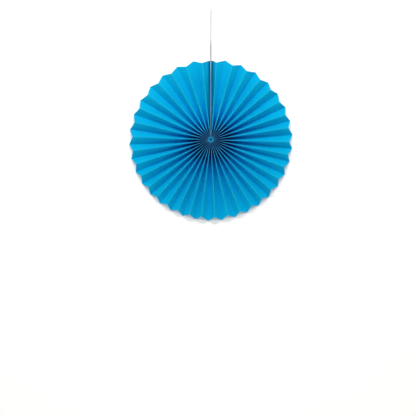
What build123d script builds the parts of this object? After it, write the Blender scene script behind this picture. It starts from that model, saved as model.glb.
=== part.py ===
from build123d import *
import os
from math import acos, asin, atan2, cos, degrees, hypot, pi, radians, sin, sqrt

# A hanging rosette of pleated paper, in millimetres. One strip of paper is folded to and fro, gathered
# along one edge by a string through every pleat, and opened until its two ends meet and are glued.
# The origin is the hanging point inside the loop of string. Z is up and the front faces -Y.

# The paper
rosette_diameter = 400.0  # across the rim's points
paper = 0.16  # thickness of the sheet
pleat_width = rosette_diameter / 16  # fold to fold across a panel, and the depth of the closed stack
mountain_folds = 35  # folds that point to the front, with a valley fold between each two
rim_notch = 8.1  # how much shorter the paper is at a mountain fold than at a valley fold
rim_flattening = 2.8  # how much nearer the rim is at the top and bottom than at the sides
rim_drop = 0.4  # how far the rim's middle sags below the middle of the hub
hub_radius = 2.6  # of the hole that the gathered ends leave

# How the folds spread round the rim, as turns clockwise from the seam at the top
first_fold = radians(1.75)
last_fold = radians(352.63)
top_spread = 0.1293  # the pleats open wider at the top than at the bottom
top_offset = 0.022
side_spread = 0.0215
side_offset = 0.016

# The seam, where the two ends of the sheet meet behind the string
seam_notch = 3.5  # how much lower the rim is at the seam
fold_gap_hub = 1.75  # from the seam to the folds beside it, at the hub
bend_gap_hub = 1.55  # from the seam to the soft bend in each end panel
bend_gap_rim = 6.4
bend_reach = 0.45  # share of the way to the rim at which that gap is reached
bend_room = 0.8  # of the way from the seam to the fold beside it, at most
bend_depth_hub = -2.0  # heights in front of the middle of the pleats
bend_depth_rim = 3.5
bend_rise = 0.8  # share of the rim's rise that is reached at the bend
tab_clearance = 0.5  # from the tabs' back edges to the back of the pleats
tab_width_hub = 4.0
tab_width_rim = 4.0

# The adhesive strip between the two tabs
adhesive_thickness = 0.2
adhesive_width = 3.0
adhesive_margin = 0.5  # from the tabs' back edges
adhesive_inset = 12.0  # from the tabs' ends

# The string
string_diameter = 1.3
strand_spacing = 1.4  # between the two strands that run up side by side
gather_radius = 9.0  # of the ring that the string makes inside the pleats
hole_clearance = 0.25  # round the string in each punched hole
hole_sides = 8
punch_reach = 0.3  # to each side of the panel that a hole is punched through
hang_drop = 316.0  # from the hanging point to the middle of the hub
pin_radius = 0.8  # of the pin that the loop hangs on
loop_length = 9.0  # over which the two strands part to go round the pin
loop_bend = 30.0  # radius of that parting
knot_width = 2.9
knot_depth = 2.8
knot_height = 3.6
knot_corner = 0.9
knot_rise = 0.6  # of its middle above the ring

# How finely the bent panels are divided from hub to rim, with shorter steps at the hub
panel_steps = 12
step_growth = 1.5

fan = Plane(origin=(0, 0, -hang_drop), x_dir=(1, 0, 0), z_dir=(0, -1, 0))
fan_axis = Axis(fan.origin, fan.z_dir)
rim_radius = rosette_diameter / 2
rim_high = rim_radius - rim_flattening - rim_drop - seam_notch  # at the seam
fold_count = 2 * mountain_folds - 1
tab_gap = adhesive_thickness / 2
tab_edge_depth = tab_clearance - pleat_width / 2
seam_start = sqrt(hub_radius**2 - fold_gap_hub**2)
steps = [(i / panel_steps) ** step_growth for i in range(panel_steps + 1)]


def between(start, end, share):
    return start + (end - start) * share


def on_circle(radius, turn):
    return Vector(radius * sin(turn), radius * cos(turn))


def rim_turn(turn):
    widening = top_spread * sin(turn) + top_offset * cos(turn)
    return turn + widening + side_spread * sin(2 * turn) + side_offset * cos(2 * turn)


def bend_gap(step):
    share = min(step / bend_reach, 1)
    return between(bend_gap_hub, bend_gap_rim, share * share * (3 - 2 * share))


def is_mountain(fold):
    return fold % 2 == 0


def hub_end(fold):
    first = asin(fold_gap_hub / hub_radius)
    return on_circle(hub_radius, between(first, 2 * pi - first, fold / (fold_count - 1)))


def rim_end(fold):
    turn = between(first_fold, last_fold, fold / (fold_count - 1))
    radius = rim_radius - rim_notch if is_mountain(fold) else rim_radius
    radius -= rim_flattening * cos(rim_turn(turn)) ** 2
    return on_circle(radius, rim_turn(turn)) - Vector(0, rim_drop)


def along_fold(fold, step):
    return between(hub_end(fold), rim_end(fold), step)


def panel_span(fold, step):
    # The mean distance to the folds on each side, seen from the front.
    direction = (rim_end(fold) - hub_end(fold)).normalized()
    beside = [other for other in (fold - 1, fold + 1) if 0 <= other < fold_count]
    spans = [(along_fold(other, step) - along_fold(fold, step)).cross(direction).length for other in beside]
    return sum(spans) / len(spans)


def fold_layer(span, depth):
    # The paper's thickness measured from front to back at a fold, which grows as the panels stand up.
    slant = span**2 + depth**2
    return paper * slant / (span * sqrt(slant - paper**2) + paper * depth)


def fold_column(fold):
    # The front and back faces of the paper along one fold. The paper doesn't stretch, so the pleats
    # get shallower as they open.
    side = 1 if is_mountain(fold) else -1
    outer = []
    inner = []
    for step in steps:
        span = panel_span(fold, step)
        depth = sqrt(pleat_width**2 - span**2)
        layer = fold_layer(span, depth)
        place = along_fold(fold, step)
        outer.append(Vector(place.X, place.Y, side * depth / 2))
        inner.append(Vector(place.X, place.Y, side * (depth / 2 - layer)))
    return (outer, inner) if is_mountain(fold) else (inner, outer)


def offset_corner(before, corner, after):
    # A corner of the sheet's section moved out by the thickness of the paper.
    normals = [
        (corner - before).normalized().cross(Vector(0, 0, 1)),
        (after - corner).normalized().cross(Vector(0, 0, 1)),
    ]
    return corner + (normals[0] + normals[1]) * (paper / (1 + normals[0].dot(normals[1])))


def seam_columns(side, beside):
    # One end of the sheet, from the free edge of its tab to the bend beside the fold next to the seam.
    # Each section is drawn to the right of the seam, as distance from the seam and height in front.
    fronts = [[], [], []]
    backs = [[], [], []]
    fold_rim = beside[0][-1]
    for i, step in enumerate(steps):
        edge = Vector(tab_gap, tab_edge_depth)
        root = Vector(tab_gap, tab_edge_depth + between(tab_width_hub, tab_width_rim, step))
        fold = Vector(abs(beside[0][i].X), beside[0][i].Z)
        gap = bend_gap(step) if step == 0 else min(bend_gap(step), bend_room * fold.X)
        bend = Vector(gap, between(bend_depth_hub, bend_depth_rim, step))
        heights = [
            between(seam_start, rim_high, step),
            between(seam_start, rim_high, step),
            between(seam_start, between(fold_rim.Y, rim_high, bend_rise), step),
        ]
        section = [edge, root, bend]
        offset = [
            edge + Vector(paper, 0),
            offset_corner(edge, root, bend),
            offset_corner(root, bend, fold),
        ]
        for column in range(3):
            front, back, height = section[column], offset[column], heights[column]
            fronts[column].append(Vector(side * front.X, height, front.Y))
            backs[column].append(Vector(side * back.X, height, back.Y))
    return list(zip(fronts, backs))


def strip(left, right):
    # Flat triangles between two rows of points: paper bends along straight lines but never stretches.
    facets = []
    for i in range(len(left) - 1):
        facets.append(Face(Wire.make_polygon([left[i], right[i], right[i + 1]])))
        facets.append(Face(Wire.make_polygon([left[i], right[i + 1], left[i + 1]])))
    return facets


def panel(left, right):
    # The front, the back and the two cut ends of the sheet between two columns.
    front = strip(left[0], right[0])
    back = strip(left[1], right[1])
    ends = []
    for end in (0, -1):
        ends += strip([left[0][end], left[1][end]], [right[0][end], right[1][end]])
    return front + back + ends


def ring_crossing(start, end):
    # Where a line seen from the front meets the ring of string.
    run = end - start
    lean = start.dot(run)
    reach = sqrt(lean**2 - run.dot(run) * (start.dot(start) - gather_radius**2))
    return start + run * ((reach - lean) / run.dot(run))


def in_place(column):
    return tuple([fan.from_local_coords(point) for point in face] for face in column)


# The sheet from one glued end, round all the folds, to the other
folds = [fold_column(fold) for fold in range(fold_count)]
right_end = seam_columns(1, folds[0])
left_end = seam_columns(-1, folds[-1])
columns = [in_place(column) for column in right_end + folds + left_end[::-1]]
facets = strip(*columns[0]) + strip(*columns[-1])
for i in range(len(columns) - 1):
    pair = columns[i : i + 2]
    if (i - len(right_end)) % 2:
        pair = pair[::-1]
    facets += panel(*pair)

# The line of each panel in the middle of the pleats, and of the two end panels at their bends
lines = []
for fold in range(fold_count - 1):
    lines.append(((hub_end(fold) + hub_end(fold + 1)) / 2, (rim_end(fold) + rim_end(fold + 1)) / 2))
for side in (1, -1):
    lines.append((Vector(side * bend_gap_hub, seam_start), Vector(side * bend_gap_rim, rim_high)))

with BuildPart() as punches:
    for start, end in lines:
        crossing = ring_crossing(start, end)
        middle = fan.from_local_coords(crossing)
        along = fan.from_local_coords(crossing + (end - start)) - middle
        with BuildSketch(Plane(middle, x_dir=along, z_dir=along.cross(fan.z_dir))):
            RegularPolygon(string_diameter / 2 + hole_clearance, hole_sides, major_radius=False)
    extrude(amount=punch_reach, both=True)

with BuildPart() as pleated_paper:
    add(Solid(Shell(facets)))
    # One hole through each panel for the ring of string
    add(punches.part, mode=Mode.SUBTRACT)

# The double-sided adhesive strip between the two glued tabs
adhesive_length = rim_high - seam_start - 2 * adhesive_inset
adhesive_middle = (rim_high + seam_start) / 2 - hang_drop
with BuildPart() as adhesive_strip:
    with BuildSketch(Plane.YZ):
        with Locations((-tab_edge_depth - adhesive_margin - adhesive_width / 2, adhesive_middle)):
            Rectangle(adhesive_width, adhesive_length)
    extrude(amount=tab_gap, both=True)

# The string is one length: a ring through every pleat, a knot at the seam and two strands up to a loop
loop_radius = pin_radius + string_diameter / 2
strand_x = strand_spacing / 2
knot_middle = gather_radius + knot_rise - hang_drop
parting = hypot(strand_x, loop_length)
touch_turn = acos(loop_radius / parting) - atan2(loop_length, strand_x)
touch = (loop_radius * cos(touch_turn), loop_radius * sin(touch_turn))
ring_start = degrees(asin(strand_x / gather_radius))

with BuildPart() as hanging_string:
    with BuildLine(Plane.XZ) as strand_path:
        FilletPolyline((strand_x, knot_middle), (strand_x, -loop_length), touch, radius=loop_bend)
        mirror(about=Plane.YZ)
        CenterArc((0, 0), loop_radius, degrees(touch_turn), 180 - 2 * degrees(touch_turn))
    with BuildSketch(Plane.XY.offset(knot_middle)):
        with Locations((strand_x, 0)):
            Circle(string_diameter / 2)
    sweep(path=strand_path.wire())
    # The ring inside the pleats
    with BuildSketch(Plane.XY.offset(-hang_drop).rotated((0, ring_start - 90, 0))):
        with Locations((gather_radius, 0)):
            Circle(string_diameter / 2)
    revolve(axis=fan_axis.reverse(), revolution_arc=360 - 2 * ring_start)
    with BuildSketch(Plane.XZ.offset(-knot_depth / 2)):
        with Locations((0, knot_middle)):
            RectangleRounded(knot_width, knot_height, knot_corner)
    extrude(amount=knot_depth)

strand_length = strand_path.wire().length
ring_length = gather_radius * (2 * pi - 2 * radians(ring_start))
string_area = pi * string_diameter**2 / 4
print("string length", round(strand_length + ring_length, 1), "loop radius", round(loop_radius, 2))
print("string volume", round(hanging_string.part.volume, 1))
print("section times length", round(string_area * (strand_length + ring_length), 1))
print("sheet volume", round(pleated_paper.part.volume))

pleated_paper.part.label = "pleated_paper"
adhesive_strip.part.label = "adhesive_strip"
hanging_string.part.label = "hanging_string"

os.makedirs("parts", exist_ok=True)
export_step(pleated_paper.part, "parts/pleated_paper.step")
export_step(adhesive_strip.part, "parts/adhesive_strip.step")
export_step(hanging_string.part, "parts/hanging_string.step")
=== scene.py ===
from math import acos, asin, atan2, cos, exp, hypot, pi, radians, sin, sqrt
from random import Random

import bpy
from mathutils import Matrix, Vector


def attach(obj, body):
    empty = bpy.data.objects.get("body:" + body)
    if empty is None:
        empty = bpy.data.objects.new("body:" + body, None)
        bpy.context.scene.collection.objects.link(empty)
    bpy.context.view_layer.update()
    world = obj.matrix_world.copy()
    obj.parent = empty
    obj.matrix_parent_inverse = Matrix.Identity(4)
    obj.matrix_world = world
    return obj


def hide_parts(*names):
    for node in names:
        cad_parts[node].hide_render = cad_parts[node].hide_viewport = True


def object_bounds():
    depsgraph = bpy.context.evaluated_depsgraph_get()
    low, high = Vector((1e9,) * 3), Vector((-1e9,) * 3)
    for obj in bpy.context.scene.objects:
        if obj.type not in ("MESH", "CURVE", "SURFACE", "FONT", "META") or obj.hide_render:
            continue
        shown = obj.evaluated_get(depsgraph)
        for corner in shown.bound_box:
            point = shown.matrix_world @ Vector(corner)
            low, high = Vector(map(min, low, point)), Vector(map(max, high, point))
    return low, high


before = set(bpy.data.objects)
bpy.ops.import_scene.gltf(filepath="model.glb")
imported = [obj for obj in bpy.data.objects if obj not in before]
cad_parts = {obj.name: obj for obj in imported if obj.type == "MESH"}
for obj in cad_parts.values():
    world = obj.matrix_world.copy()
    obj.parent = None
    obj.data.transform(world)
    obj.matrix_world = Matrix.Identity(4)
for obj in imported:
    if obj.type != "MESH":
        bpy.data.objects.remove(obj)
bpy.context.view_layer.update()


def between(start, end, share):
    return start + (end - start) * share


def smoothShare(value, low, high):
    share = min(max((value - low) / (high - low), 0.0), 1.0)
    return share * share * (3 - 2 * share)


def deselectAll():
    if bpy.context.mode != "OBJECT":
        bpy.ops.object.mode_set(mode="OBJECT")
    bpy.ops.object.select_all(action="DESELECT")


def makeActive(piece):
    deselectAll()
    piece.select_set(True)
    bpy.context.view_layer.objects.active = piece


def applyModifier(piece, kind, settings):
    makeActive(piece)
    modifier = piece.modifiers.new(kind.title(), kind)
    for name, value in settings.items():
        setattr(modifier, name, value)
    bpy.ops.object.modifier_apply(modifier=modifier.name)


def giveMaterial(piece, material):
    piece.data.materials.clear()
    piece.data.materials.append(material)


# Shader maths: a value wraps a socket, and sums of values add their Math nodes
class ShaderValue:
    def __init__(self, graph, socket):
        self.graph = graph
        self.socket = socket

    def maths(self, operation, first, second):
        return self.graph.node("ShaderNodeMath", {"operation": operation}, {0: first, 1: second})

    def __add__(self, other):
        return self.maths("ADD", self, other)

    def __sub__(self, other):
        return self.maths("SUBTRACT", self, other)

    def __rsub__(self, other):
        return self.maths("SUBTRACT", other, self)

    def __mul__(self, other):
        return self.maths("MULTIPLY", self, other)

    def orMore(self, other):
        return self.maths("MAXIMUM", self, other)

    __radd__ = __add__
    __rmul__ = __mul__


class ShaderGraph:
    def __init__(self, tree):
        self.tree = tree
        tree.nodes.clear()

    def node(self, kind, settings=None, inputs=None, output=0):
        made = self.tree.nodes.new(kind)
        for name, value in (settings or {}).items():
            if name == "stops":
                self.setStops(made.color_ramp.elements, value)
            else:
                setattr(made, name, value)
        for name, value in (inputs or {}).items():
            if isinstance(value, ShaderValue):
                self.tree.links.new(value.socket, made.inputs[name])
            else:
                made.inputs[name].default_value = value
        return ShaderValue(self, made.outputs[output]) if len(made.outputs) else None

    def mixColour(self, factor, first, second, blend="MIX"):
        colours = [c if isinstance(c, ShaderValue) else (*c, 1) for c in (first, second)]
        settings = {"data_type": "RGBA", "blend_type": blend}
        return self.node("ShaderNodeMix", settings, {0: factor, 6: colours[0], 7: colours[1]}, output=2)

    def grey(self, value):
        return self.node("ShaderNodeCombineColor", None, {0: value, 1: value, 2: value})

    def setStops(self, elements, stops):
        while len(elements) < len(stops):
            elements.new(1.0)
        for element, (place, colour) in zip(elements, stops):
            element.position = place
            element.color = (*colour, 1)

    def ramp(self, value, stops):
        return self.node("ShaderNodeValToRGB", {"stops": stops}, {0: value})

    def spread(self, value, low, high, newLow=0.0, newHigh=1.0):
        inputs = {"Value": value, "From Min": low, "From Max": high, "To Min": newLow, "To Max": newHigh}
        return self.node("ShaderNodeMapRange", {"clamp": True}, inputs)

    def hill(self, value, rise, fall):
        # 0 before the rise, 1 between the two and 0 after the fall
        return self.spread(value, *fall, 1.0, 0.0) * self.spread(value, *rise)

    def objectPlace(self):
        return self.node("ShaderNodeTexCoord", output=3)

    def axis(self, vector, index):
        return self.node("ShaderNodeSeparateXYZ", None, {0: vector}, index)

    def attribute(self, name):
        return self.node("ShaderNodeAttribute", {"attribute_name": name}, output=2)

    def vectorMaths(self, operation, first, second=None, output=0):
        inputs = {0: first} if second is None else {0: first, 1: second}
        return self.node("ShaderNodeVectorMath", {"operation": operation}, inputs, output)

    def noise(self, place, scale, detail, roughness=0.5):
        inputs = {"Vector": place, "Scale": scale, "Detail": detail, "Roughness": roughness}
        return self.node("ShaderNodeTexNoise", {"noise_dimensions": "3D"}, inputs)

    def relief(self, height, strength, distance):
        inputs = {"Height": height, "Strength": strength, "Distance": distance}
        return self.node("ShaderNodeBump", None, inputs)

    def finish(self, inputs):
        surface = self.node("ShaderNodeBsdfPrincipled", None, inputs)
        self.node("ShaderNodeOutputMaterial", None, {"Surface": surface})


def newMaterial(name):
    material = bpy.data.materials.new(name)
    material.use_nodes = True
    return material, ShaderGraph(material.node_tree)


hangDrop = 0.316  # from the hanging point down to the middle of the hub

# camera with the photograph's scale and framing
photoView = {
    "metresPerPixel": 0.002442,
    "imagePixels": 416,
    "hubPixel": (210.8, 139.7),
    "distance": 8.0,
    "sensorMillimetres": 36.0,
}
halfImage = photoView["imagePixels"] / 2
cameraData = bpy.data.cameras.new("photoCamera")
cameraData.sensor_width = photoView["sensorMillimetres"]
viewWidth = photoView["imagePixels"] * photoView["metresPerPixel"]
cameraData.lens = photoView["sensorMillimetres"] * photoView["distance"] / viewWidth
camera = bpy.data.objects.new("photoCamera", cameraData)
bpy.context.scene.collection.objects.link(camera)
camera.location = (
    (halfImage - photoView["hubPixel"][0]) * photoView["metresPerPixel"],
    -photoView["distance"],
    -hangDrop - (halfImage - photoView["hubPixel"][1]) * photoView["metresPerPixel"],
)
camera.rotation_euler = (radians(90), 0, 0)
bpy.context.scene.camera = camera
print("camera placed")


# string: two strands up to a loop, the ring inside the pleats and the knot
hangingString = {
    "diameter": 0.0013,
    "gatherRadius": 0.009,
    "knotRise": 0.0006,
    "strandX": 0.0007,
    "length": 0.617,
    "plies": 3,
    "plyRadius": 0.00034,
    "plyOffset": 0.00034,
    "layLength": 0.0042,
    "pointsPerTurn": 11,
    "ringCorners": 16,
    "loopRight": [  # the right half of the loop round the pin, from the straight strand up
        (0.0007, -0.0200), (0.0007, -0.0090), (0.00142, -0.0012), (0.00158, 0.0004), (0.00112, 0.00122),
    ],
    "loopTop": 0.00158,
}
knotHeight = hangingString["gatherRadius"] + hangingString["knotRise"] - hangDrop
towardsBack = Vector((0, 1, 0))


def routeCurve(name, points, closed=False):
    data = bpy.data.curves.new(name, "CURVE")
    data.dimensions = "3D"
    data.resolution_u = 24
    spline = data.splines.new("NURBS")
    spline.points.add(len(points) - 1)
    for target, point in zip(spline.points, points):
        target.co = (*point, 1)
    spline.order_u = 3
    spline.use_endpoint_u = not closed
    spline.use_cyclic_u = closed
    return data


def routeLine(name, points, spacing, closed=False):
    # points at an even spacing along the route's own NURBS spline
    data = routeCurve(name, points, closed)
    holder = bpy.data.objects.new(name, data)
    bpy.context.scene.collection.objects.link(holder)
    mesh = bpy.data.meshes.new_from_object(holder)
    line = [vertex.co.copy() for vertex in mesh.vertices]
    if closed:
        line.append(line[0].copy())
    bpy.data.objects.remove(holder)
    bpy.data.meshes.remove(mesh)
    lengths = [0.0]
    for before, after in zip(line, line[1:]):
        lengths.append(lengths[-1] + (after - before).length)
    count = max(round(lengths[-1] / spacing), 2)
    spaced = []
    segment = 0
    for i in range(count + 1):
        wanted = lengths[-1] * i / count
        while segment < len(line) - 2 and lengths[segment + 1] < wanted:
            segment += 1
        run = lengths[segment + 1] - lengths[segment]
        share = (wanted - lengths[segment]) / run if run else 0.0
        spaced.append(line[segment].lerp(line[segment + 1], share))
    return spaced, lengths[-1]


def twistedString(name, line, length, across, closed=False, squeeze=1.0):
    # plies wound round a line, made as round curves and turned into one mesh
    data = bpy.data.curves.new(name, "CURVE")
    data.dimensions = "3D"
    data.bevel_depth = hangingString["plyRadius"] * squeeze
    data.bevel_resolution = 1
    data.use_fill_caps = not closed
    turns = round(length / hangingString["layLength"])
    last = len(line) - 1
    for ply in range(hangingString["plies"]):
        spline = data.splines.new("POLY")
        used = line[:-1] if closed else line
        spline.points.add(len(used) - 1)
        for i, place in enumerate(used):
            if closed:
                tangent = line[(i + 1) % last] - line[(i - 1) % last]
            else:
                tangent = line[min(i + 1, last)] - line[max(i - 1, 0)]
            tangent.normalize()
            sideways = tangent.cross(across).normalized()
            upright = sideways.cross(tangent)
            turn = 2 * pi * (turns * i / last + ply / hangingString["plies"])
            offset = (sideways * cos(turn) + upright * sin(turn)) * hangingString["plyOffset"] * squeeze
            spline.points[i].co = (*(place + offset), 1)
        spline.use_cyclic_u = closed
    piece = bpy.data.objects.new(name, data)
    bpy.context.scene.collection.objects.link(piece)
    makeActive(piece)
    bpy.ops.object.convert(target="MESH")
    piece = bpy.context.object
    bpy.ops.object.shade_smooth()
    return piece


plySpacing = hangingString["layLength"] / hangingString["pointsPerTurn"]
rightSide = [(hangingString["strandX"], 0, knotHeight)]
rightSide += [(x, 0, z) for x, z in hangingString["loopRight"]]
leftSide = [(-x, 0, z) for x, y, z in reversed(rightSide)]
strandRoute = rightSide + [(0, 0, hangingString["loopTop"])] + leftSide
strandLine, strandLength = routeLine("strandRoute", strandRoute, plySpacing)
print("strand length", round(strandLength, 4))
strands = twistedString("hangingStrands", strandLine, strandLength, towardsBack)

ringPoints = []
ringStart = asin(hangingString["strandX"] / hangingString["gatherRadius"])
for i in range(hangingString["ringCorners"] + 1):
    turn = between(ringStart, 2 * pi - ringStart, i / hangingString["ringCorners"])
    across, up = hangingString["gatherRadius"] * sin(turn), hangingString["gatherRadius"] * cos(turn)
    ringPoints.append((across, 0, up - hangDrop))
ringLine, ringLength = routeLine("ringRoute", ringPoints, plySpacing)
ring = twistedString("gatheringRing", ringLine, ringLength, towardsBack)

# the knot, pulled tight: one strand wound over and through itself
knotShape = {
    "corners": 36,
    "across": 0.00078,
    "through": 0.00044,
    "paintedShade": 1.25,
    "stretch": 1.12,
    "squeeze": 0.72,
    "closerPoints": 0.6,
}
knotPoints = []
for i in range(knotShape["corners"]):
    turn = 2 * pi * i / knotShape["corners"]
    reach = knotShape["across"] + knotShape["through"] * cos(3 * turn)
    knotPoints.append((
        reach * cos(2 * turn),
        knotShape["through"] * knotShape["paintedShade"] * sin(3 * turn),
        reach * sin(2 * turn) * knotShape["stretch"] + knotHeight,
    ))
knotLine, knotLength = routeLine("knotRoute", knotPoints, plySpacing * knotShape["closerPoints"], closed=True)
tilted = Vector((0, 1, 0.01))  # never in line with the knot's own strand
knot = twistedString("stringKnot", knotLine, knotLength, tilted, closed=True, squeeze=knotShape["squeeze"])

print("string made")


# pleated paper: one flat strip, folded round the hub
rosette = {
    "rimRadius": 0.2,
    "rimNotch": 0.0081,
    "rimFlattening": 0.0028,
    "rimDrop": 0.0004,
    "rimDent": 0.002,  # how far the rim is pushed in at its upper left
    "rimDentTurn": radians(-50),
    "rimDentNarrowness": 6,
    "hubRadius": 0.0026,
    "hubClosing": 0.0004,
    "pleatWidth": 0.025,
    "thickness": 0.00016,
    "mountainFolds": 35,
    "firstFold": radians(1.75),
    "lastFold": radians(352.63),
    "topSpread": 0.1293,  # the four numbers of how the pleats open wider at the top than below
    "topOffset": 0.022,
    "sideSpread": 0.0215,
    "sideOffset": 0.016,
    "turnUnevenness": radians(0.16),
    "bow": 0.00035,
    "bowReach": (0.05, 0.6),  # from no bow to all of it, as shares of the way from the hub to the rim
    "rimWave": 0.0005,
    "rimWaveReach": (0.4, 1.0),
    "holeRadius": 8.25,  # the row in which the holes start, in millimetres from the hub
    "seed": 11,
}
seam = {
    "notch": 0.0035,
    "foldGapHub": 0.00175,
    "bendGapHub": 0.00155,
    "bendGapRim": 0.0064,
    "bendHeightHub": -0.002,
    "bendHeightRim": 0.0035,
    "bendReach": 0.45,
    "bendRoomHub": 0.95,  # how much of the room beside the first fold the bend may take
    "bendRoomRim": 0.8,
    "bendRoomReach": 0.1,
    "bendRise": 0.8,
    "tabEdge": -0.012,
    "tabWidth": 0.004,
    "adhesive": 0.0002,
    "panelShares": (0.22, 0.45, 0.62),
    "bendStart": 0.72,  # share of the panel where its soft bend starts
    "bendShares": (0.0, 0.25, 0.5, 0.75, 1.0),
    "bendEnd": 0.28,  # share of the groove's wall where the bend ends
    "wallShares": (0.5, 0.75, 0.92),
    "tabShares": (0.06, 0.4, 1.0),
    "wallPaintedShades": (1.0, 0.88),  # painted shade on the right and the left wall of the groove
    "panelPaintedShade": 0.5,  # and on the end panel in front of it, as a share of that
    # painted shade over the end panel's soft bend
    "bendPaintedShades": (0.4775, 0.5875, 0.7525),
    "closedRadius": 0.0064,
    "openRadius": 0.0092,
    "closingFolds": 9.0,  # over about how many folds the closing fades
    "leastRoom": 0.0001,
}
rounding = {
    "hubShare": 0.46,  # a packed fold's radius, as a share of the space between two mountain folds
    "packedReach": (0.0062, 0.0086),  # distances from the hub, as in the other reaches
    "pinched": 0.00016,
    "sharp": 0.0004,
    "sharpReach": (0.018, 0.034),
    "rim": 0.00042,
    "rimReach": (0.05, 0.15),
    "valleyHub": 0.0001,
    "valleyRim": 0.0003,
    "valleyReach": (0.01, 0.1),
}
millimetre = 0.001
rowRadii = [  # millimetres from the hub
    2.2, 3.0, 3.9, 4.9, 5.9, 6.9, 7.6, 8.25, 9.75, 10.6, 11.6, 12.8, 14.4, 16.5, 19, 22.5, 27, 32.5, 39, 47,
    56, 66, 77, 89, 101, 114, 127, 140, 153, 165, 176, 186, 194, 200,
]
mountainCap = 7  # points over the rounding of a fold
valleyCap = 5
panelPoints = [(0.2, 0), (0.5, -0.0008), (0.5, 0.0008), (0.8, 0)]  # share of a panel, and metres from there
endColumns = sum(len(seam[name]) for name in ("panelShares", "bendShares", "wallShares", "tabShares"))
hubCentre = Vector((0, 0, -hangDrop))
foldCount = 2 * rosette["mountainFolds"] - 1
lastFold = foldCount - 1
seamStart = sqrt(rosette["hubRadius"] ** 2 - seam["foldGapHub"] ** 2)
rowSteps = [
    (radius * millimetre - rosette["hubRadius"] + rosette["hubClosing"])
    / (rosette["rimRadius"] - rosette["hubRadius"] + rosette["hubClosing"])
    for radius in rowRadii
]
unevenness = Random(rosette["seed"])
foldJitter = [unevenness.gauss(0, rosette["turnUnevenness"]) for fold in range(foldCount)]
panelBow = [unevenness.gauss(0, rosette["bow"]) for fold in range(foldCount + 1)]
rimWave = [unevenness.gauss(0, rosette["rimWave"]) for fold in range(foldCount)]


def onCircle(radius, turn):
    return Vector((radius * sin(turn), radius * cos(turn)))


def rimTurn(turn):
    widening = rosette["topSpread"] * sin(turn) + rosette["topOffset"] * cos(turn)
    return turn + widening + rosette["sideSpread"] * sin(2 * turn) + rosette["sideOffset"] * cos(2 * turn)


def bendGap(step):
    return between(seam["bendGapHub"], seam["bendGapRim"], smoothShare(step, 0, seam["bendReach"]))


def isMountain(fold):
    return fold % 2 == 0


def capCount(fold):
    return mountainCap if isMountain(fold) else valleyCap


def hubEnd(fold):
    first = asin(seam["foldGapHub"] / rosette["hubRadius"])
    turn = between(first, 2 * pi - first, fold / lastFold)
    return onCircle(rosette["hubRadius"] - rosette["hubClosing"], turn)


def rimEnd(fold):
    turn = rimTurn(between(rosette["firstFold"], rosette["lastFold"], fold / lastFold))
    radius = rosette["rimRadius"] - (rosette["rimNotch"] if isMountain(fold) else 0)
    radius -= rosette["rimFlattening"] * cos(turn) ** 2
    dent = max(cos(turn - rosette["rimDentTurn"]), 0) ** rosette["rimDentNarrowness"]
    radius -= rosette["rimDent"] * dent
    return onCircle(radius, turn + foldJitter[fold]) - Vector((0, rosette["rimDrop"]))


hubEnds = [hubEnd(fold) for fold in range(foldCount)]
rimEnds = [rimEnd(fold) for fold in range(foldCount)]
outwards = [(rimEnds[fold] - hubEnds[fold]).normalized() for fold in range(foldCount)]
sideways = [Vector((out.y, -out.x)) for out in outwards]


def closing(radius):
    return 1 - smoothShare(radius, seam["closedRadius"], seam["openRadius"])


def foldPlace(fold, step):
    # inside the ring of string the folds beside the seam press together and close it
    place = hubEnds[fold].lerp(rimEnds[fold], step)
    share = closing(place.length)
    if share == 0:
        return place
    turn = atan2(place.x, place.y) % (2 * pi)
    first = hubEnds[0].lerp(rimEnds[0], step)
    gap = atan2(first.x, first.y)
    even = (2 * pi - 2 * gap) / lastFold
    reach = exp(-2 / seam["closingFolds"])
    # the first fold stops at half the space between it and the next mountain fold
    pushed = (gap - even) / (1.5 - reach / 2) * share
    turn += pushed * (exp(-(lastFold - fold) / seam["closingFolds"]) - exp(-fold / seam["closingFolds"]))
    return onCircle(place.length, turn)


def foldSpans(fold, step):
    # distances across to the folds before and after, seen from the front
    spans = []
    for other in (fold - 1, fold + 1):
        if 0 <= other < foldCount:
            spans.append(abs((foldPlace(other, step) - foldPlace(fold, step)).dot(sideways[fold])))
    return spans


def foldHeight(fold, step):
    spans = foldSpans(fold, step)
    span = sum(spans) / len(spans)
    depth = sqrt(rosette["pleatWidth"] ** 2 - span ** 2) - rosette["thickness"]
    wave = rimWave[fold] * smoothShare(step, *rosette["rimWaveReach"])
    return (depth / 2 + wave) * (1 if isMountain(fold) else -1)


def capRadius(fold, step):
    radius = foldPlace(fold, step).length
    if not isMountain(fold):
        opened = smoothShare(radius, *rounding["valleyReach"])
        return between(rounding["valleyHub"], rounding["valleyRim"], opened)
    spans = foldSpans(fold, step)
    beside = min(spans) if len(spans) == 2 else min(spans[0], abs(foldPlace(fold, step).x))
    packed = rounding["hubShare"] * 2 * beside * min(1.0, rounding["packedReach"][0] / radius)
    packed -= rosette["thickness"] / 2
    sharp = between(rounding["pinched"], rounding["sharp"], smoothShare(radius, *rounding["sharpReach"]))
    sharp = between(sharp, rounding["rim"], smoothShare(radius, *rounding["rimReach"]))
    return between(packed, sharp, smoothShare(radius, *rounding["packedReach"]))


def capEdge(fold, step, side, bend=None):
    # the angle on a fold's rounding at which the panel on that side leaves it, from straight out
    other = fold + side
    radii = capRadius(fold, step)
    if bend is None:
        across = abs((foldPlace(other, step) - foldPlace(fold, step)).dot(sideways[fold]))
        drop = abs(foldHeight(fold, step)) + abs(foldHeight(other, step))
        radii += capRadius(other, step)
    else:
        across, drop = bend
    drop -= radii
    towards = atan2(across, -drop)  # measured from the fold's outer side
    return towards - acos(min(radii / hypot(across, drop), 1.0))


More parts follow.
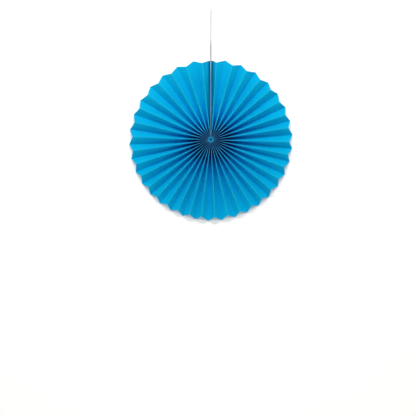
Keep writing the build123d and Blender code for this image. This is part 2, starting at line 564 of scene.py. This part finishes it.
def capPoints(fold, step, edges, count):
    # points over the rounding of a fold, as distance sideways and height in front of the middle
    radius = capRadius(fold, step)
    height = foldHeight(fold, step)
    outer = 1 if height > 0 else -1
    middle = height - outer * radius
    points = []
    for i in range(count):
        turn = between(-edges[0], edges[1], i / (count - 1))
        points.append((radius * sin(turn), middle + outer * radius * cos(turn)))
    return points


def inFrame(place, height):
    # from a place seen from the front, and a height towards the viewer, to the scene's axes
    return Vector((place.x, -height, place.y)) + hubCentre


def endSection(side, step, foldPoint, rimFold):
    # the end panel and its tab, from the fold beside the seam to the tab's free edge
    gap = (seam["adhesive"] + rosette["thickness"]) / 2
    rimHigh = rosette["rimRadius"] - rosette["rimFlattening"] - rosette["rimDrop"] - seam["notch"]
    low = seamStart - rosette["hubClosing"]
    room = between(seam["bendRoomHub"], seam["bendRoomRim"], smoothShare(step, 0, seam["bendRoomReach"]))
    bend = Vector((
        min(bendGap(step), abs(foldPoint.x) * room),
        between(seam["bendHeightHub"], seam["bendHeightRim"], step),
    ))
    root = Vector((gap, seam["tabEdge"] + seam["tabWidth"]))
    edge = Vector((gap, seam["tabEdge"]))
    fold = Vector((abs(foldPoint.x), foldPoint.z))
    heights = {
        "fold": foldPoint.y,
        "bend": between(low, between(rimFold, rimHigh, seam["bendRise"]), step),
        "root": between(low, rimHigh, step),
    }
    points = []
    for share in seam["panelShares"]:
        points.append((fold.lerp(bend, share), between(heights["fold"], heights["bend"], share)))
    before, after = fold.lerp(bend, seam["bendStart"]), bend.lerp(root, seam["bendEnd"])
    risenBefore = between(heights["fold"], heights["bend"], seam["bendStart"])
    risenAfter = between(heights["bend"], heights["root"], seam["bendEnd"])
    for share in seam["bendShares"]:
        soft = before.lerp(bend, share).lerp(bend.lerp(after, share), share)
        towardsBend = between(risenBefore, heights["bend"], share)
        fromBend = between(heights["bend"], risenAfter, share)
        points.append((soft, between(towardsBend, fromBend, share)))
    for share in seam["wallShares"]:
        points.append((bend.lerp(root, share), between(heights["bend"], heights["root"], share)))
    for share in seam["tabShares"]:
        points.append((root.lerp(edge, share), heights["root"]))
    return [inFrame(Vector((side * place.x, rise)), place.y) for place, rise in points]


def sheetRow(step):
    # all points across the folded strip at one distance from the hub
    row = []
    for fold in range(foldCount):
        edges = []
        for side in (-1, 1):
            if 0 <= fold + side < foldCount:
                edges.append(capEdge(fold, step, side))
            else:
                across = abs(foldPlace(fold, step).x) - bendGap(step)
                drop = foldHeight(fold, step) - between(seam["bendHeightHub"], seam["bendHeightRim"], step)
                edges.append(capEdge(fold, step, side, (max(across, seam["leastRoom"]), drop)))
        cap = []
        for offset, height in capPoints(fold, step, edges, capCount(fold)):
            cap.append(inFrame(foldPlace(fold, step) + sideways[fold] * offset, height))
        if fold:
            start, end = row[-1], cap[0]
            along = end - start
            bow = panelBow[fold] * smoothShare(step, *rosette["bowReach"])
            outward = inFrame(outwards[fold], 0) - hubCentre
            normal = along.cross(outward).normalized()
            for part, offset in panelPoints:
                share = part + offset / along.length
                row.append(start.lerp(end, share) + normal * bow * 4 * share * (1 - share))
        row += cap
    ends = []
    for side, point, rim in ((1, row[0] - hubCentre, rimEnds[0]), (-1, row[-1] - hubCentre, rimEnds[-1])):
        ends.append(endSection(side, step, Vector((point.x, point.z, -point.y)), rim.y))
    return ends[0][::-1] + row + ends[1]


def columnMarks():
    # for every column of the sheet, how near a mountain's crest it is and how much painted shade the seam's
    # groove gets
    flat = [seam["panelPaintedShade"]] * (len(seam["panelShares"]) + 1) + list(seam["bendPaintedShades"])
    paintedShades = flat + [1] * (endColumns - len(flat))
    right, left = ([(0.0, share * shade) for share in paintedShades] for shade in seam["wallPaintedShades"])
    marks = right[::-1]
    for fold in range(foldCount):
        if fold:
            marks += [(0.0, 0.0)] * len(panelPoints)
        for i in range(capCount(fold)):
            crest = 1 - abs(2 * i / (capCount(fold) - 1) - 1)
            marks.append((crest if isMountain(fold) else 0.0, 0.0))
    return marks + left


rows = [sheetRow(step) for step in rowSteps]
marks = columnMarks()
columnCount = len(rows[0])
print("sheet columns", columnCount, "rows", len(rows))

# the flat strip is a grid, and every crossing of its lines goes to its folded place
deselectAll()
bpy.ops.mesh.primitive_grid_add(x_subdivisions=columnCount - 1, y_subdivisions=len(rows) - 1, size=1)
paper = bpy.context.object
paper.name = "pleatedPaper"
flatMiddle = len(rows) // 2
flatAcross = [0.0]
for before, after in zip(rows[flatMiddle], rows[flatMiddle][1:]):
    flatAcross.append(flatAcross[-1] + (after - before).length)
cells = []
for vertex in paper.data.vertices:
    column = round((vertex.co.x + 0.5) * (columnCount - 1))
    row = round((vertex.co.y + 0.5) * (len(rows) - 1))
    cells.append((column, row))
for vertex, (column, row) in zip(paper.data.vertices, cells):
    vertex.co = rows[row][column]
flatPlaces = paper.data.uv_layers.active or paper.data.uv_layers.new(name="flatSheet")
flatPlaces.name = "flatSheet"
for loop in paper.data.loops:
    column, row = cells[loop.vertex_index]
    flatPlaces.data[loop.index].uv = (flatAcross[column], rowRadii[row] * millimetre)
# the crest marks and the seam's painted shade, kept as point attributes
for index, name in enumerate(("mountainCrest", "seamWall")):
    marked = paper.data.attributes.new(name, "FLOAT", "POINT")
    for vertex, (column, row) in zip(paper.data.vertices, cells):
        marked.data[vertex.index].value = marks[column][index]

# the holes for the ring of string, one through the middle of every panel
holeRow = rowRadii.index(rosette["holeRadius"])
holeFaces = 0
holeColumns = set()
panelStart = endColumns + mountainCap
for fold in range(1, foldCount):
    holeColumns.add(panelStart + 1)
    panelStart += len(panelPoints) + capCount(fold)
makeActive(paper)
bpy.ops.object.mode_set(mode="EDIT")
bpy.ops.mesh.select_mode(type="FACE")
bpy.ops.mesh.select_all(action="DESELECT")
bpy.ops.object.mode_set(mode="OBJECT")
for face in paper.data.polygons:
    corners = [cells[index] for index in face.vertices]
    if min(row for _, row in corners) == holeRow and min(column for column, _ in corners) in holeColumns:
        face.select = True
        holeFaces += 1
bpy.ops.object.mode_set(mode="EDIT")
bpy.ops.mesh.delete(type="ONLY_FACE")
bpy.ops.object.mode_set(mode="OBJECT")
print("punched holes", holeFaces)

applyModifier(paper, "SOLIDIFY", {"thickness": rosette["thickness"], "offset": 0.0})
makeActive(paper)
bpy.ops.object.mode_set(mode="EDIT")
bpy.ops.mesh.select_all(action="SELECT")
bpy.ops.mesh.normals_make_consistent(inside=False)
bpy.ops.object.mode_set(mode="OBJECT")
bpy.ops.object.shade_smooth_by_angle(angle=radians(45))

# how deep each side of the paper lies in the folds, from its own side's ridges, which sets the painted valley
# shade
foldDepth = paper.data.attributes.new("foldDepth", "FLOAT", "POINT")
for vertex in paper.data.vertices:
    fromFront = vertex.co.y / rosette["pleatWidth"] + 0.5
    foldDepth.data[vertex.index].value = fromFront if vertex.normal.y < 0 else 1 - fromFront
print("paper folded")


paperFinish = {
    "ridges": [  # distance from the hub as a share of the rim's, and the colour there: the dye, darkened towards the hub by painted shade, with a painted dark spot round the hole
        (0.0, (0.010, 0.05, 0.12)), (0.0135, (0.010, 0.05, 0.12)), (0.017, (0.010, 0.26, 0.48)),
        (0.038, (0.012, 0.25, 0.48)), (0.047, (0.048, 0.19, 0.44)),
        (0.10, (0.044, 0.31, 0.64)), (0.16, (0.036, 0.37, 0.69)),
        (0.28, (0.010, 0.38, 0.66)), (0.55, (0.0, 0.396, 0.66)), (1.0, (0.0, 0.40, 0.66)),
    ],
    # the valleys' colour: painted shade in the folds, deepest towards the hub
    "valleyShade": [
        (0.0, (0.01, 0.08, 0.24)), (0.038, (0.02, 0.08, 0.24)), (0.046, (0.025, 0.05, 0.21)),
        (0.10, (0.010, 0.035, 0.27)), (0.16, (0.006, 0.10, 0.45)),
        (0.28, (0.0, 0.25, 0.64)), (0.55, (0.0, 0.37, 0.67)), (1.0, (0.0, 0.395, 0.66)),
    ],
    "valleyShadeDepth": 0.5,  # from this depth on all is the valleys' painted shade, as a share of the pleat's width
    # the colour of the painted shade on the seam's groove
    "seamWall": (0.0, 0.17, 0.37),
    "paintedLightTurn": radians(-15),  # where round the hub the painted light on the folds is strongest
    "upperFacing": (0.1, 1.0),
    "lowestFacing": (-0.5, -0.95),
    # painted light on the folds above the hub, as a colour multiplier
    "paintedLight": (0.5, 1.42, 1.16),
    "paintedLightRise": (0.020, 0.034),
    "paintedLightFall": (0.055, 0.14),
    "paintedShadeRidge": (0.95, 0.72, 0.79),  # painted shade on the ridges at the sides of the hub, as a colour multiplier
    "paintedShadeBelow": (1.15, 1.0, 1.06),  # and below it
    # and the painted shade in the valleys there
    "paintedShadeValley": (0.4, 0.24, 0.46),
    "paintedShadeDepth": (0.02, 0.3),
    "paintedShadeRise": (0.012, 0.021),
    "paintedShadeFall": (0.035, 0.072),
    "cloud": 0.06,
    "cloudScale": 28.0,
    "cloudShare": 0.7,  # the rest of the cloudiness comes from the fibres
    "worn": (0.03, 0.53, 0.75),  # the mountains' crests, where the dye is rubbed thin
    "wornShare": 0.75,
    "wornCrest": (0.15, 0.7),
    "wornReach": (0.03, 0.12),
    "wornLeast": 0.45,
    "rubbingScale": 160.0,
    "roughness": (0.62, 0.78),
    "specular": 0.06,
    "fibreScale": 900.0,
    "fibreStretch": 0.45,
    "bump": 0.12,
    "bumpDepth": 0.0002,
}


def paperMaterial():
    material, graph = newMaterial("dyedPaperAndPaintedShade")
    place = graph.objectPlace()
    flat = graph.node("ShaderNodeUVMap", {"uv_map": "flatSheet"})
    stretch = (1.0, paperFinish["fibreStretch"], 1.0)
    stretched = graph.node("ShaderNodeMapping", None, {"Vector": flat, "Scale": stretch})
    clouds = graph.noise(place, paperFinish["cloudScale"], 3.0, 0.55)
    fibres = graph.noise(stretched, paperFinish["fibreScale"], 4.0, 0.6)
    rubbing = graph.noise(place, paperFinish["rubbingScale"], 3.0, 0.6)
    radius = graph.axis(flat, 1)
    depth = graph.attribute("foldDepth")

    # the dye on the ridges, with painted shade darkening it into the valleys and towards the hub
    outward = graph.spread(radius, 0.0, rosette["rimRadius"])
    ridgeDyeAndShade = graph.ramp(outward, paperFinish["ridges"])
    valleyShadeColour = graph.ramp(outward, paperFinish["valleyShade"])
    valleyShadeShare = graph.spread(depth, 0.0, paperFinish["valleyShadeDepth"])
    dyedAndShaded = graph.mixColour(valleyShadeShare, ridgeDyeAndShade, valleyShadeColour)

    # painted light on the folds above the hub, painted shade beside and below it
    direction = graph.vectorMaths("NORMALIZE", graph.vectorMaths("SUBTRACT", place, hubCentre))
    paintedLightTurn = (sin(paperFinish["paintedLightTurn"]), 0, cos(paperFinish["paintedLightTurn"]))
    facing = graph.vectorMaths("DOT_PRODUCT", direction, paintedLightTurn, output=1)
    upper = graph.spread(facing, *paperFinish["upperFacing"])
    paintedLightShare = upper * graph.hill(radius, paperFinish["paintedLightRise"], paperFinish["paintedLightFall"])
    dyedAndShaded = graph.mixColour(paintedLightShare, dyedAndShaded, paperFinish["paintedLight"], "MULTIPLY")
    lowest = graph.spread(facing, *paperFinish["lowestFacing"])
    paintedShadeRidge = graph.mixColour(lowest, paperFinish["paintedShadeRidge"], paperFinish["paintedShadeBelow"])
    inFold = graph.spread(depth, *paperFinish["paintedShadeDepth"])
    paintedShade = graph.mixColour(inFold, paintedShadeRidge, paperFinish["paintedShadeValley"])
    paintedShadeShare = (1 - upper) * graph.hill(radius, paperFinish["paintedShadeRise"], paperFinish["paintedShadeFall"])
    dyedAndShaded = graph.mixColour(paintedShadeShare, dyedAndShaded, paintedShade, "MULTIPLY")
    # painted shade on the seam's groove walls and end panels
    dyedAndShaded = graph.mixColour(graph.attribute("seamWall"), dyedAndShaded, paperFinish["seamWall"])

    # clouds in the dye, and rubbed crests
    clouded = clouds * paperFinish["cloudShare"] + fibres * (1 - paperFinish["cloudShare"])
    cloudy = graph.spread(clouded, 0.35, 0.65, 1 - paperFinish["cloud"], 1.0)
    body = graph.mixColour(1.0, dyedAndShaded, graph.grey(cloudy), "MULTIPLY")
    rubbed = graph.spread(rubbing, 0.3, 0.6, paperFinish["wornLeast"], 1.0)
    wornCrest = graph.spread(graph.attribute("mountainCrest"), *paperFinish["wornCrest"])
    wornReach = graph.spread(radius, *paperFinish["wornReach"])
    wear = wornCrest * rubbed * wornReach * paperFinish["wornShare"]
    graph.finish({
        "Base Color": graph.mixColour(wear, body, paperFinish["worn"]),
        "Roughness": graph.spread(fibres, 0.3, 0.7, *paperFinish["roughness"]),
        "Normal": graph.relief(fibres, paperFinish["bump"], paperFinish["bumpDepth"]),
        "Specular IOR Level": paperFinish["specular"],
    })
    return material


stringFinish = {
    "reach": (-0.31, 0.0),  # heights of the ramp's ends
    "colours": [  # share of the way up, and the colour: white cotton at the top, with painted shade just above the rim and painted shade and painted blue bounce light in the groove, bluer and greyer further down
        (0.0, (0.14, 0.55, 0.80)), (0.04, (0.17, 0.49, 0.70)), (0.075, (0.13, 0.36, 0.52)),
        (0.14, (0.12, 0.26, 0.41)), (0.22, (0.16, 0.37, 0.56)), (0.30, (0.12, 0.31, 0.48)),
        (0.45, (0.105, 0.31, 0.48)), (0.53, (0.17, 0.46, 0.60)), (0.58, (0.28, 0.54, 0.66)),
        (0.605, (0.36, 0.365, 0.37)), (0.64, (0.26, 0.26, 0.265)), (0.72, (0.26, 0.26, 0.265)),
        (0.77, (0.70, 0.695, 0.69)), (0.85, (0.72, 0.715, 0.71)), (1.0, (0.62, 0.615, 0.61)),
    ],
    "shaded": 0.8,
    "hairScale": 2600.0,
    "hairShare": 0.6,
    "patchScale": 240.0,
    "roughness": (0.78, 0.95),
    "specular": 0.2,
    "sheen": 0.25,
    "bump": 0.5,
    "bumpDepth": 0.0001,
}


def stringMaterial():
    material, graph = newMaterial("cottonString")
    place = graph.objectPlace()
    hairs = graph.noise(place, stringFinish["hairScale"], 3.0, 0.65)
    patches = graph.noise(place, stringFinish["patchScale"], 2.0)
    mottled = hairs * stringFinish["hairShare"] + patches * (1 - stringFinish["hairShare"])
    shade = graph.spread(mottled, 0.35, 0.62, stringFinish["shaded"], 1.0)
    height = graph.spread(graph.axis(place, 2), *stringFinish["reach"])
    # the string's colour by height, with its painted shade and painted blue bounce light
    colourAndPaintedShade = graph.ramp(height, stringFinish["colours"])
    graph.finish({
        "Base Color": graph.mixColour(1.0, colourAndPaintedShade, graph.grey(shade), "MULTIPLY"),
        "Roughness": graph.spread(hairs, 0.3, 0.7, *stringFinish["roughness"]),
        "Normal": graph.relief(hairs, stringFinish["bump"], stringFinish["bumpDepth"]),
        "Specular IOR Level": stringFinish["specular"],
        "Sheen Weight": stringFinish["sheen"],
    })
    return material


adhesiveFinish = {
    "bubbleScale": 500.0,
    "colours": ((0.70, 0.69, 0.62), (0.80, 0.79, 0.74)),
    "roughness": (0.25, 0.45),
}


def adhesiveMaterial():
    material, graph = newMaterial("milkyAdhesive")
    bubbles = graph.noise(graph.objectPlace(), adhesiveFinish["bubbleScale"], 3.0)
    graph.finish({
        "Base Color": graph.mixColour(graph.spread(bubbles, 0.35, 0.65), *adhesiveFinish["colours"]),
        "Roughness": graph.spread(bubbles, 0.3, 0.7, *adhesiveFinish["roughness"]),
    })
    return material


giveMaterial(paper, paperMaterial())
cotton = stringMaterial()
for piece in (strands, ring, knot):
    giveMaterial(piece, cotton)
giveMaterial(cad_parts["adhesive_strip"], adhesiveMaterial())
print("materials made")


# the finished pieces join the frame
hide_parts("pleated_paper")
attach(paper, "root")
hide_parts("hanging_string")
for piece in (strands, ring, knot):
    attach(piece, "root")
print("pieces joined to the frame")


# wall, floor and light
studio = {
    "wallGap": 0.0008,
    "wallWidth": 2.4,
    "wallHeight": 2.6,
    "floorWidth": 24.0,
    "floorBelow": 0.75,
    "colour": (0.95, 0.93, 0.90),
    "seenShare": 1.09,  # how much paler the camera sees the wall and floor than they are
    "floorShade": (0.6, 0.6, 0.6),  # what light finds there, so that little comes up from below
    "wallVeil": (0.75, (-0.125, -0.115)),  # the share of plain white seen in it, and above which heights
    "floorVeil": (0.94, (-3.0, -2.0)),
    "skyTop": 0.28,
    "skyBottom": 0.12,
    "frontPlace": (0.0, -2.9, 0.3),
    "frontSize": (1.8, 0.4),
    "frontPower": 33.5,
    "keyPlace": (-0.12, -1.6, 1.03),
    "keySize": (2.2, 0.4),
    "keyPower": 33.0,
    "backPlace": (0.1, 1.9, 1.5),
    "backSize": (2.4, 1.0),
    "backPower": 55.0,
}


def oneSidedBackdrop(name, litColour, whiteVeil, veiledFrom):
    # seen and lit from its front only, and casts no shadow, so that the views from behind are open
    material, graph = newMaterial(name)
    behind = graph.node("ShaderNodeNewGeometry", output=6)
    shadowRay = graph.node("ShaderNodeLightPath", output=1)
    cameraRay = graph.node("ShaderNodeLightPath", output=0)
    seenColour = tuple(channel * studio["seenShare"] for channel in studio["colour"])
    colour = graph.mixColour(cameraRay, litColour, seenColour)
    lit = graph.node("ShaderNodeBsdfDiffuse", None, {"Color": colour})
    clear = graph.node("ShaderNodeBsdfTransparent")
    height = graph.axis(graph.objectPlace(), 2)
    veil = cameraRay * graph.spread(height, *veiledFrom, 0.0, whiteVeil)
    clearShare = behind.orMore(shadowRay).orMore(veil)
    surface = graph.node("ShaderNodeMixShader", None, {0: clearShare, 1: lit, 2: clear})
    graph.node("ShaderNodeOutputMaterial", None, {"Surface": surface})
    return material


wallMaterial = oneSidedBackdrop("paleWall", studio["colour"], *studio["wallVeil"])
floorMaterial = oneSidedBackdrop("paleFloor", studio["floorShade"], *studio["floorVeil"])
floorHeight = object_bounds()[0].z - studio["floorBelow"]
backOfFan = max(corner[1] for corner in paper.bound_box) + studio["wallGap"]
deselectAll()
wallMiddle = (0, backOfFan, floorHeight + studio["wallHeight"] / 2)
bpy.ops.mesh.primitive_plane_add(size=1, location=wallMiddle, rotation=(radians(90), 0, 0))
wall = bpy.context.object
wall.name = "wall"
wall.scale = (studio["wallWidth"], studio["wallHeight"], 1)
bpy.ops.object.transform_apply(location=True, rotation=True, scale=True)
deselectAll()
bpy.ops.mesh.primitive_plane_add(size=studio["floorWidth"], location=(0, 0, floorHeight))
floor = bpy.context.object
floor.name = "floor"
bpy.ops.object.transform_apply(location=True, rotation=True, scale=True)
giveMaterial(wall, wallMaterial)
giveMaterial(floor, floorMaterial)

world = bpy.data.worlds.new("paleStudio")
world.use_nodes = True
bpy.context.scene.world = world
sky = ShaderGraph(world.node_tree)
upwards = sky.axis(sky.node("ShaderNodeTexCoord"), 2)
level = sky.spread(upwards, -1.0, 1.0, studio["skyBottom"], studio["skyTop"])
seenRay = sky.node("ShaderNodeLightPath", output=0)
glossRay = sky.node("ShaderNodeLightPath", output=3)
soft = sky.node("ShaderNodeBackground", None, {"Color": (1, 1, 1, 1), "Strength": level})
white = sky.node("ShaderNodeBackground", None, {"Color": (1, 1, 1, 1), "Strength": 1.0})
seenSky = sky.node("ShaderNodeMixShader", None, {0: seenRay.orMore(glossRay), 1: soft, 2: white})
sky.node("ShaderNodeOutputWorld", None, {"Surface": seenSky})


def areaLamp(name, place, size, power):
    # a lamp that points at the hub
    data = bpy.data.lights.new(name, "AREA")
    data.shape = "RECTANGLE"
    data.size, data.size_y = size
    data.energy = power
    lamp = bpy.data.objects.new(name, data)
    bpy.context.scene.collection.objects.link(lamp)
    lamp.location = place
    lamp.rotation_euler = (hubCentre - Vector(place)).to_track_quat("-Z", "Y").to_euler()


areaLamp("keyLamp", studio["keyPlace"], studio["keySize"], studio["keyPower"])
areaLamp("frontLamp", studio["frontPlace"], studio["frontSize"], studio["frontPower"])
areaLamp("backLamp", studio["backPlace"], studio["backSize"], studio["backPower"])
bpy.context.scene.view_settings.view_transform = "Standard"
print("studio lit")
